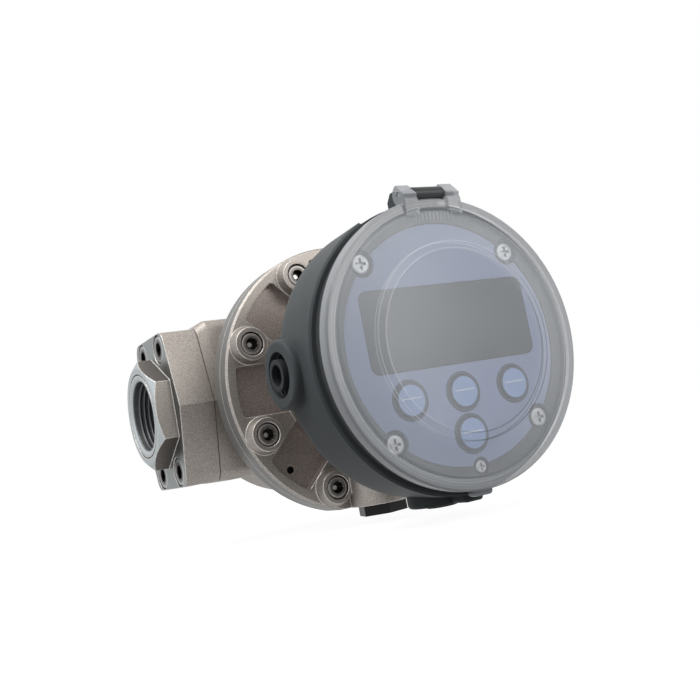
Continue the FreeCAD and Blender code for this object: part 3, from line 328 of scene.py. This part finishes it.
def screwSteelFinish():
    f = screwSteel
    made, wire, shader = newFinish("screwSteel", {"Metallic": 1.0})
    place = objectPlace(wire)
    cloud = place.noise(420.0, 3.0)
    colour = cloud.blend(f["dull"], f["colour"])
    drive(shader, Base_Color=colour, Roughness=cloud * 0.16 + f["roughness"],
          Normal=bumped(place.noise(3200.0, 2.0), 0.2, 0.00003, Normal=roundedEdges(wire, 0.0003)))
    return made


gearSteel = {"colour": (0.56, 0.56, 0.57), "dull": (0.40, 0.40, 0.41), "roughness": 0.24}


def gearSteelFinish():
    # ground faces: fine lines along the teeth
    f = gearSteel
    made, wire, shader = newFinish("gearSteel", {"Metallic": 1.0})
    place = objectPlace(wire)
    stretched = place.node("ShaderNodeMapping", Vector=place, Scale=(2400.0, 60.0, 2400.0))
    lines = stretched.noise(1.0, 2.0)
    drive(shader, Base_Color=lines.blend(f["dull"], f["colour"]), Roughness=lines * 0.2 + f["roughness"],
          Normal=bumped(lines, 0.25, 0.00003, Normal=roundedEdges(wire, 0.0002)))
    return made


moulded = {"cloudScale": 90.0, "edgeWidth": 0.0005}
plasticFinishes = {
    # name: (dark, light, roughness, moulded grain in metres, grain scale, specular level)
    "housingPlastic": ((0.062, 0.069, 0.072), (0.078, 0.086, 0.090), 0.46, 0.00005, 1900.0, 0.05),
    "bezelPlastic": ((0.030, 0.033, 0.035), (0.040, 0.044, 0.047), 0.36, 0.00004, 1900.0, 0.25),
    "blackPlastic": ((0.007, 0.007, 0.007), (0.012, 0.012, 0.012), 0.36, 0.00005, 1700.0, 0.2),
    "greyPlug": ((0.024, 0.026, 0.028), (0.036, 0.039, 0.042), 0.46, 0.00005, 1700.0, 0.08),
    "sealRubber": ((0.010, 0.010, 0.010), (0.018, 0.018, 0.018), 0.62, 0.00006, 1500.0, 0.3),
    "bushCarbon": ((0.016, 0.016, 0.017), (0.030, 0.030, 0.032), 0.38, 0.00003, 2600.0, 0.5),
    "keyMat": ((0.018, 0.029, 0.050), (0.026, 0.040, 0.066), 0.55, 0.00004, 2200.0, 0.2),
    "facia": ((0.200, 0.238, 0.370), (0.220, 0.260, 0.400), 0.50, 0.00001, 3200.0, 0.15),
    "displayGlass": ((0.040, 0.045, 0.048), (0.046, 0.051, 0.054), 0.40, 0.000004, 900.0, 0.06),
    "whitePrint": ((0.62, 0.66, 0.74), (0.68, 0.72, 0.80), 0.5, 0.00001, 3000.0, 0.2),
    "boardGreen": ((0.010, 0.090, 0.035), (0.016, 0.120, 0.050), 0.40, 0.00004, 900.0, 0.5),
    "cellWrap": ((0.030, 0.060, 0.170), (0.045, 0.085, 0.220), 0.30, 0.00002, 1200.0, 0.5),
    "terminalGreen": ((0.020, 0.160, 0.060), (0.030, 0.200, 0.080), 0.42, 0.00004, 1500.0, 0.5),
    "lcdGlass": ((0.16, 0.19, 0.15), (0.19, 0.22, 0.18), 0.20, 0.00001, 900.0, 0.5),
}


def plasticFinish(name):
    # moulded plastic: two close tones, a fine spark-eroded grain and rounded edges
    dark, light, roughness, grain, scale, level = plasticFinishes[name]
    made, wire, shader = newFinish(name, {"Specular IOR Level": level})
    place = objectPlace(wire)
    cloud = place.noise(moulded["cloudScale"], 4.0)
    fine = place.noise(scale, 3.0, 0.6)
    drive(shader, Base_Color=cloud.blend(dark, light), Roughness=fine * 0.12 + (roughness - 0.06),
          Normal=bumped(fine, 0.5, grain, Normal=roundedEdges(wire, moulded["edgeWidth"])))
    return made


clearLid = {
    "milky": (0.80, 0.84, 0.89), "bright": (0.95, 0.97, 1.0), "shade": (0.14, 0.16, 0.18),
    "rimGrey": (0.262, 0.275, 0.292), "roughness": 0.18, "bevel": 0.0002,
    # opacity: the plain veil, and what each feature adds to it; the share on the left is a painted sheen,
    # and the lens lines' lower share is painted shade
    "veil": 0.112, "edgeOn": 0.30, "haze": 0.02, "lens": 0.12, "lensLower": 0.2, "inside": -0.02,
    "groove": 0.12, "rim": 0.44, "tab": 0.5, "left": 0.05,
    # depths, radii from the dial's axis, and the height of the tab
    "lensFront": 0.1492, "lidFront": 0.1439, "lensIn": 0.0361, "lensOut": 0.0391, "grooveIn": 0.0532,
    "grooveOut": 0.0558, "rimFrom": 0.0545, "edgeR": 0.058, "tabZ": -0.0560, "line": 0.0003,
}


def clearLidFinish():
    # slightly milky clear plastic: a thin veil face on, denser at the rim, the ears and the tab,
    # with the two edges of the raised lens and the rim's groove drawn as fine lines; the lens lines are
    # painted darker and denser towards the lower right as painted shade, and the veil is thicker towards the
    # left as a painted sheen
    f = clearLid
    made, wire, shader = newFinish("clearLid", {"IOR": 1.49})
    place = objectPlace(wire)
    r, depth, x, z = dialPolar(wire, place)
    line = f["line"]
    edgeOn = wire.node("ShaderNodeLayerWeight", out="Facing", Blend=0.3)
    haze = place.noise(40.0, 3.0)
    front = depth.above(f["lidFront"], line)
    lens = r.between(f["lensIn"] - line, f["lensIn"] + line, line) * depth.above(f["lensFront"], line) \
        + r.between(f["lensOut"] - line, f["lensOut"] + line, line) * front
    groove = r.between(f["grooveIn"] - line, f["grooveIn"] + line, line) * front \
        + r.between(f["grooveOut"] - 0.0002, f["grooveOut"] + 0.0002, line) * front
    inside = 1.0 - r.above(f["lensIn"], 0.0006)
    rim = r.above(f["rimFrom"], 0.0012)
    tab = (1.0 - z.above(f["tabZ"], 0.001)) * r.above(f["edgeR"] + 0.0004, 0.0004)
    # painted sheen: the veil thicker and lighter towards the left
    left = 1.0 - x.above(-0.012, 0.05)
    # painted shade: the lens lines darker and denser towards the lower right
    lower = (x - z * 0.8).above(0.012, 0.05)
    alpha = edgeOn * f["edgeOn"] + haze * f["haze"] + f["veil"] + lens * (lower * f["lensLower"] + f["lens"]) \
        + inside * f["inside"] + groove * f["groove"] + rim * f["rim"] + tab * f["tab"] + left * f["left"]
    colour = layered((haze * 0.6).blend(f["milky"], f["bright"]), [
        (lens, lower, f["shade"]),
        (rim, 0.9, f["rimGrey"]),
        (tab, 0.92, f["shade"]),
    ])
    drive(shader, Base_Color=colour, Alpha=alpha.maths("MINIMUM", 1.0), Roughness=haze * 0.06 + f["roughness"],
          Normal=bumped(place.noise(700.0, 2.0), 0.15, 0.00002, Normal=roundedEdges(wire, f["bevel"])))
    return made


# x and z of each key's middle, from the dial's axis
keyPlaces = {"key_left": (-0.0248, -0.0194), "key_centre": (0.0, -0.0194),
             "key_right": (0.0248, -0.0194), "key_lower": (0.0, -0.036)}
keyBlue = {"dark": (0.205, 0.300, 0.520), "light": (0.240, 0.340, 0.580), "skirt": (0.022, 0.034, 0.056),
           "capR": 0.0059, "roughness": 0.46, "grain": 0.00003, "grainScale": 2600.0, "edgeWidth": 0.0004}


def keyBlueFinish():
    # a blue key whose edge and sides are the dark moulding it sits in
    f = keyBlue
    made, wire, shader = newFinish("keyBlue", {"Specular IOR Level": 0.25})
    place = objectPlace(wire)
    x, z = dialPolar(wire, place)[2:]
    nearest = None
    for keyX, keyZ in keyPlaces.values():
        offX, offZ = x - keyX, z - keyZ
        away = (offX * offX + offZ * offZ).maths("SQRT")
        nearest = away if nearest is None else nearest.maths("MINIMUM", away)
    cloud = place.noise(moulded["cloudScale"], 4.0)
    fine = place.noise(f["grainScale"], 3.0, 0.6)
    colour = nearest.above(f["capR"], 0.0003).blend(cloud.blend(f["dark"], f["light"]), f["skirt"])
    drive(shader, Base_Color=colour, Roughness=fine * 0.12 + (f["roughness"] - 0.06),
          Normal=bumped(fine, 0.5, f["grain"], Normal=roundedEdges(wire, f["edgeWidth"])))
    return made


finishes = {
    "castSteel": castSteelFinish(),
    "keyBlue": keyBlueFinish(),
    "screwSteel": screwSteelFinish(),
    "socketSteel": socketSteelFinish(),
    "gearSteel": gearSteelFinish(),
    "clearLid": clearLidFinish(),
}
for plasticName in plasticFinishes:
    finishes[plasticName] = plasticFinish(plasticName)

nodeFinish = {
    "measuring_body": "castSteel", "body_cap": "castSteel",
    "inlet_adaptor": "castSteel", "outlet_adaptor": "castSteel",
    "cap_screws": "socketSteel", "inlet_adaptor_screws": "socketSteel",
    "outlet_adaptor_screws": "socketSteel", "neck_screws": "socketSteel",
    "board_screws": "screwSteel", "bezel_screws": "screwSteel", "seal_screw": "screwSteel",
    "hinge_pin": "screwSteel", "gear_magnets": "screwSteel",
    "lower_oval_gear": "gearSteel", "upper_oval_gear": "gearSteel",
    "lower_gear_shaft": "gearSteel", "upper_gear_shaft": "gearSteel",
    "lower_gear_bush": "bushCarbon", "upper_gear_bush": "bushCarbon",
    "cap_oring": "sealRubber", "inlet_oring": "sealRubber", "outlet_oring": "sealRubber",
    "neck_gasket": "sealRubber", "housing_gasket": "sealRubber",
    "cap_conduit_plug": "blackPlastic", "register_housing": "housingPlastic",
    "register_neck": "housingPlastic", "register_pillars": "housingPlastic",
    "bezel_ring": "bezelPlastic", "left_conduit_plug": "greyPlug", "right_conduit_plug": "greyPlug",
    "bottom_conduit_plug": "greyPlug", "pulse_sensor_board": "boardGreen",
    "circuit_board": "boardGreen", "battery_pack": "cellWrap", "terminal_block": "terminalGreen",
    "facia_plate": "facia", "display_window": "displayGlass", "lcd_module": "lcdGlass",
    "key_seal": "keyMat", "key_left": "keyBlue", "key_centre": "keyBlue", "key_right": "keyBlue",
    "key_lower": "keyBlue", "lid": "clearLid",
}
for nodeName, node in nodes.items():
    node.data.materials.clear()
    node.data.materials.append(finishes[nodeFinish[nodeName]])
print("finishes set on", len(nodes), "nodes")


def addSurface(name, points, faces, finish, body, smooth=True):
    mesh = bpy.data.meshes.new(name)
    mesh.from_pydata(points.reshape(-1, 3).tolist(), [], faces)
    mesh.polygons.foreach_set("use_smooth", np.full(len(mesh.polygons), smooth))
    mesh.update()
    piece = bpy.data.objects.new(name, mesh)
    bpy.context.scene.collection.objects.link(piece)
    mesh.materials.append(finishes[finish])
    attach(piece, body)


def tubeFaces(rows, columns):
    # quads of a grid whose columns close on themselves, with both ends capped
    row, column = np.meshgrid(np.arange(rows - 1), np.arange(columns), indexing="ij")
    after = (column + 1) % columns
    quads = np.stack([row * columns + column, row * columns + after,
                      (row + 1) * columns + after, (row + 1) * columns + column], axis=-1)
    ends = [list(range(columns))[::-1], list(range((rows - 1) * columns, rows * columns))]
    return quads.reshape(-1, 4).tolist() + ends


def ringFaces(rows, columns):
    # as tubeFaces, but the last row joins the first instead of ending in caps
    last = (rows - 1) * columns
    across = np.arange(columns)
    after = (across + 1) % columns
    closing = np.stack([last + across, last + after, after, across], axis=-1)
    return tubeFaces(rows, columns)[:-2] + closing.tolist()


def threadRidge(centre, along, wallR, depth, pitch, length, steps=56):
    # a ridge wound inside a bore: angle t from 0 to 2 pi n, place along the axis pitch t / 2 pi,
    # with a four-cornered section whose crest stands depth inside the wall and fades at both ends
    turns = length / pitch
    t = np.linspace(0.0, 2 * math.pi * turns, int(steps * turns))
    fade = np.clip(np.minimum(t, t[-1] - t) / 1.2, 0.04, 1.0)
    across = np.array([-0.46, -0.09, 0.09, 0.46]) * pitch
    inward = np.array([-0.15, 1.0, 1.0, -0.15])
    r = wallR - inward[None, :] * depth * fade[:, None]
    s = (pitch * t / (2 * math.pi))[:, None] + across[None, :] * fade[:, None]
    along = np.array(along, float)
    side = np.cross(along, [0.0, 1.0, 0.0]) if abs(along[1]) < 0.9 else np.cross(along, [1.0, 0.0, 0.0])
    other = np.cross(along, side)
    points = (np.array(centre)[None, None, :] + s[..., None] * along
              + r[..., None] * (np.cos(t)[:, None, None] * side + np.sin(t)[:, None, None] * other))
    return points, tubeFaces(len(t), 4)


def turnedCutter(endX, inward, profile, closed, columns=128):
    # a profile of (depth behind the end face, radius) turned about the pipe's axis:
    # x = endX + inward * depth, y = radius cos a, z = radius sin a
    depth, radius = np.array(profile).T
    a = np.linspace(0.0, 2 * math.pi, columns, endpoint=False) * inward
    x = np.repeat((endX + inward * depth)[:, None], columns, axis=1)
    points = np.stack([x, radius[:, None] * np.cos(a), radius[:, None] * np.sin(a)], axis=-1)
    faces = ringFaces(len(depth), columns) if closed else tubeFaces(len(depth), columns)
    mesh = bpy.data.meshes.new("cutter")
    mesh.from_pydata(points.reshape(-1, 3).tolist(), [], faces)
    turner = bpy.data.objects.new("cutter", mesh)
    bpy.context.scene.collection.objects.link(turner)
    work = bmesh.new()
    work.from_mesh(mesh)
    bmesh.ops.recalc_face_normals(work, faces=work.faces)
    work.to_mesh(mesh)
    work.free()
    return turner


# the hexagon's turned end: a 30 degree chamfer, a fine groove round the port and the thread's full bore
portEnd = {
    "chamferR": 0.0230, "chamferSlope": math.tan(math.radians(30.0)), "reach": 0.032,
    "grooveR": 0.0200, "grooveWidth": 0.0008, "grooveDepth": 0.0008,
    "boreR": 0.0166, "boreDepth": 0.0212, "over": 0.001, "sharpFrom": math.radians(25.0),
}


def portEndPiece(name, nodeName, endX, inward):
    # a merged copy of the adaptor, with three turned shapes cut out of its end
    f = portEnd
    work = bmesh.new()
    work.from_mesh(nodes[nodeName].data)
    bmesh.ops.remove_doubles(work, verts=work.verts, dist=0.000001)
    merged = bpy.data.meshes.new(name)
    work.to_mesh(merged)
    work.free()
    piece = bpy.data.objects.new(name, merged)
    bpy.context.scene.collection.objects.link(piece)

    over, slope, half = f["over"], f["chamferSlope"], f["grooveWidth"] / 2
    cutters = [
        turnedCutter(endX, inward, [(-over, f["chamferR"] - over / slope), (-over, f["reach"]),
                                    ((f["reach"] - f["chamferR"]) * slope, f["reach"])], True),
        turnedCutter(endX, inward, [(-over, f["grooveR"] - half), (-over, f["grooveR"] + half),
                                    (f["grooveDepth"], f["grooveR"] + half),
                                    (f["grooveDepth"], f["grooveR"] - half)], True),
        turnedCutter(endX, inward, [(-over, f["boreR"]), (f["boreDepth"], f["boreR"])], False),
    ]
    for cutter in cutters:
        cut = piece.modifiers.new("cut", "BOOLEAN")
        cut.operation = "DIFFERENCE"
        cut.solver = "EXACT"
        cut.object = cutter
    bpy.context.view_layer.update()
    shaped = bpy.data.meshes.new_from_object(piece.evaluated_get(bpy.context.evaluated_depsgraph_get()))
    piece.modifiers.clear()
    for cutter in cutters:
        bpy.data.objects.remove(cutter)

    # a bare mesh again, sharp only at the edges that turn by more than 25 degrees
    plain = bpy.data.meshes.new(name)
    corners = np.empty(len(shaped.vertices) * 3)
    shaped.vertices.foreach_get("co", corners)
    plain.from_pydata(corners.reshape(-1, 3).tolist(), [], [list(face.vertices) for face in shaped.polygons])
    plain.polygons.foreach_set("use_smooth", np.full(len(plain.polygons), True))
    plain.set_sharp_from_angle(angle=f["sharpFrom"])
    plain.materials.append(finishes["castSteel"])
    piece.data = plain
    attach(piece, "meter")
    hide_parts(nodeName)


portEndPiece("inletEnd", "inlet_adaptor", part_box("inlet_adaptor")[0].x, 1)
portEndPiece("outletEnd", "outlet_adaptor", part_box("outlet_adaptor")[1].x, -1)
print("port ends turned")

portThread = {"wallR": 0.01664, "depth": 0.0006, "pitch": 0.00231, "length": 0.0190}
entryThread = {"wallR": 0.0092, "depth": 0.00075, "pitch": 0.0015, "length": 0.0078}
threads = {
    # name: (start, direction, sizes, finish, slot)
    "inletThread": ((0.0003, 0, 0), (1, 0, 0), portThread, "castSteel", "cast_steel"),
    "outletThread": ((0.1683, 0, 0), (-1, 0, 0), portThread, "castSteel", "cast_steel"),
    "leftEntryThread": ((0.0236, -0.1094, 0), (1, 0, 0), entryThread, "housingPlastic", "housing_plastic"),
    "rightEntryThread": ((0.145, -0.1094, 0), (-1, 0, 0), entryThread, "housingPlastic", "housing_plastic"),
    "bottomEntryThread": ((0.0843, -0.1094, -0.0607), (0, 0, 1), entryThread, "housingPlastic",
                          "housing_plastic"),
}
for threadName, (start, along, sizes, finish, slotName) in threads.items():
    points, faces = threadRidge(start, along, **sizes)
    addSurface(threadName, points, faces, finish, "meter")
print("threads wound:", len(threads))

keyLine = {"length": 0.0094, "width": 0.0005, "raise": 0.00005, "sink": 0.0002, "lift": 0.0006}


def keyLinePiece(keyName, keyX, keyZ):
    # a thin flat bar with round ends: half circles of width / 2 at both ends of a straight run
    f = keyLine
    turn = np.linspace(-math.pi / 2, math.pi / 2, 9)
    half = f["length"] / 2 - f["width"] / 2
    endR = f["width"] / 2
    outline = np.concatenate([
        np.stack([half + endR * np.cos(turn), endR * np.sin(turn)], axis=1),
        np.stack([-half - endR * np.cos(turn), -endR * np.sin(turn)], axis=1)])
    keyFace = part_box(keyName)[0].y
    front = np.full(len(outline), keyFace - f["raise"])
    back = np.full(len(outline), keyFace + f["sink"])
    x = meter["dialX"] + keyX + outline[:, 0]
    z = keyZ + f["lift"] + outline[:, 1]
    points = np.stack([np.stack([x, front, z], axis=1), np.stack([x, back, z], axis=1)])
    addSurface(keyName + "_line", points, tubeFaces(2, len(outline)), "whitePrint", keyName,
               smooth=False)


keyRing = {"innerR": 0.0066, "outerR": 0.0081, "face": -0.1400, "height": 0.00022, "sink": 0.0002,
           "columns": 96}


def keyCollarPiece(keyName, keyX, keyZ):
    # a low dark collar round a key: a half-round section, height sin t, turned about the key's middle
    f = keyRing
    t = np.linspace(0.0, math.pi, 9)
    width = (f["outerR"] - f["innerR"]) / 2
    ringR = (f["outerR"] + f["innerR"]) / 2 + width * np.cos(t)
    rise = f["face"] - f["height"] * np.sin(t)
    ringR = np.append(ringR, [f["innerR"], f["outerR"]])
    rise = np.append(rise, [f["face"] + f["sink"]] * 2)
    a = np.linspace(0.0, 2 * math.pi, f["columns"], endpoint=False)
    points = np.stack([meter["dialX"] + keyX + ringR[:, None] * np.cos(a),
                       np.repeat(rise[:, None], f["columns"], axis=1),
                       keyZ + ringR[:, None] * np.sin(a)], axis=-1)
    addSurface(keyName + "_collar", points, ringFaces(len(ringR), f["columns"]), "keyMat", "meter")


for makePiece in (keyLinePiece, keyCollarPiece):
    for keyName, (keyX, keyZ) in keyPlaces.items():
        makePiece(keyName, keyX, keyZ)
print("key lines and collars laid:", len(keyPlaces))

lidRibs = {"count": 11, "pitch": 0.00175, "width": 0.0005, "low": 0.0492, "high": 0.0521,
           "face": -0.1442, "raise": 0.00018, "sink": 0.0002}


def lidRibsPiece():
    # a row of fine upright ribs below the hinge: each is a bar with a pointed roof,
    # x = x0 + i pitch plus (-w/2, 0, w/2) across, standing raise proud of the lid's face at its middle
    f = lidRibs
    i = np.arange(f["count"]) - (f["count"] - 1) / 2
    across = np.array([-0.5, 0.0, 0.5]) * f["width"]
    proud = np.array([-f["sink"], f["raise"], -f["sink"]])
    x = meter["dialX"] + i[:, None, None] * f["pitch"] + across[None, None, :]
    y = np.broadcast_to(f["face"] - proud, (f["count"], 2, 3))
    z = np.broadcast_to(np.array([f["low"], f["high"]])[None, :, None], y.shape)
    points = np.stack([np.broadcast_to(x, y.shape), y, z], axis=-1)
    oneRib = tubeFaces(2, 3)
    faces = [[rib * 6 + corner for corner in face] for rib in range(f["count"]) for face in oneRib]
    addSurface("lidRibs", points, faces, "clearLid", "lid", smooth=False)


lidRibsPiece()
print("lid ribs laid")


def backgroundRays(tree):
    # two wires: camera rays alone, and every ray that sees the white background
    camera = Wire(tree).node("ShaderNodeLightPath", out="Is Camera Ray")
    outputs = camera.socket.node.outputs
    seen = camera
    for rayName in ("Is Glossy Ray", "Is Transmission Ray"):
        seen = seen.maths("MAXIMUM", Wire(tree, outputs[rayName]))
    return camera, seen


# a white floor that shows a share of the object's shadow, and is plain grey to the light it bounces
floorSize = {"z": -0.0685, "half": 6.0, "shadowShare": 0.25, "white": 1.24,
             "bounce": (0.26, 0.26, 0.26), "shown": (0.8, 0.8, 0.8)}
half = floorSize["half"]
floorPoints = [(x, y, floorSize["z"]) for x, y in ((-half, -half), (half, -half), (half, half), (-half, half))]
floorMesh = bpy.data.meshes.new("paleFloor")
floorMesh.from_pydata(floorPoints, [], [(0, 1, 2, 3)])
floor = bpy.data.objects.new("paleFloor", floorMesh)
bpy.context.scene.collection.objects.link(floor)
floorFinish = bpy.data.materials.new("paleFloor")
floorFinish.use_nodes = True
floorFinish.node_tree.nodes.clear()
cameraRay, seen = backgroundRays(floorFinish.node_tree)
plain = seen.node("ShaderNodeBsdfDiffuse", Color=cameraRay.blend(floorSize["bounce"], floorSize["shown"]))
white = seen.node("ShaderNodeEmission", Color=(1.0, 1.0, 1.0, 1.0), Strength=floorSize["white"])
share = seen * (1.0 - floorSize["shadowShare"])
mixed = share.node("ShaderNodeMixShader", i0=share, i1=plain, i2=white)
mixed.node("ShaderNodeOutputMaterial", Surface=mixed)
floorMesh.materials.append(floorFinish)

# plain light on the object, white where it is seen
studio = {"colour": (0.90, 0.93, 0.98, 1.0), "level": 0.42, "white": 1.0}
world = bpy.data.worlds.new("studio")
bpy.context.scene.world = world
world.use_nodes = True
world.node_tree.nodes.clear()
cameraRay, seen = backgroundRays(world.node_tree)
lit = seen.node("ShaderNodeBackground", Color=studio["colour"], Strength=studio["level"])
white = seen.node("ShaderNodeBackground", Color=(1.0, 1.0, 1.0, 1.0), Strength=studio["white"])
mixed = seen.node("ShaderNodeMixShader", i0=seen, i1=lit, i2=white)
mixed.node("ShaderNodeOutputWorld", Surface=mixed)

lamps = {
    # name: (place, target, size, power in watts, colour)
    "topSoft": ((-0.28, -0.12, 0.78), (0.06, -0.06, 0.0), 0.7, 7.0, (1.0, 0.98, 0.95)),
    "rightFront": ((0.45, -1.00, 0.30), (0.09, -0.10, 0.0), 0.5, 5.0, (1.0, 0.99, 0.97)),
    "leftRim": ((-0.75, -0.15, 0.35), (0.05, -0.06, 0.0), 0.5, 0.8, (0.90, 0.96, 1.0)),
}
for lampName, (place, aim, size, power, colour) in lamps.items():
    light = bpy.data.lights.new(lampName, "AREA")
    light.energy = power
    light.size = size
    light.color = colour
    lamp = bpy.data.objects.new(lampName, light)
    lamp.location = place
    lamp.rotation_euler = (Vector(aim) - Vector(place)).to_track_quat("-Z", "Y").to_euler()
    bpy.context.scene.collection.objects.link(lamp)

# the photograph's camera: its place, its right, up and forward directions, and its lens in millimetres
view = {
    "place": (-0.130915, -0.439627, -0.030660),
    "right": (0.8647003, -0.4662489, -0.1868299),
    "up": (0.1169234, -0.1748956, 0.9776198),
    "forward": (0.4884899, 0.8671929, 0.0967169),
    "lens": 48.147,
}
cameraData = bpy.data.cameras.new("photoCamera")
cameraData.lens = view["lens"]
cameraData.sensor_width = 36.0
cameraData.sensor_fit = "HORIZONTAL"
cameraData.clip_start = 0.01
camera = bpy.data.objects.new("photoCamera", cameraData)
axes = np.array([view["right"], view["up"], [-c for c in view["forward"]]]).T
camera.matrix_world = Matrix.Translation(Vector(view["place"])) @ Matrix(axes.tolist()).to_4x4()
bpy.context.scene.collection.objects.link(camera)
bpy.context.scene.camera = camera
bpy.context.scene.view_settings.view_transform = "Standard"
print("floor, lamps and camera placed")
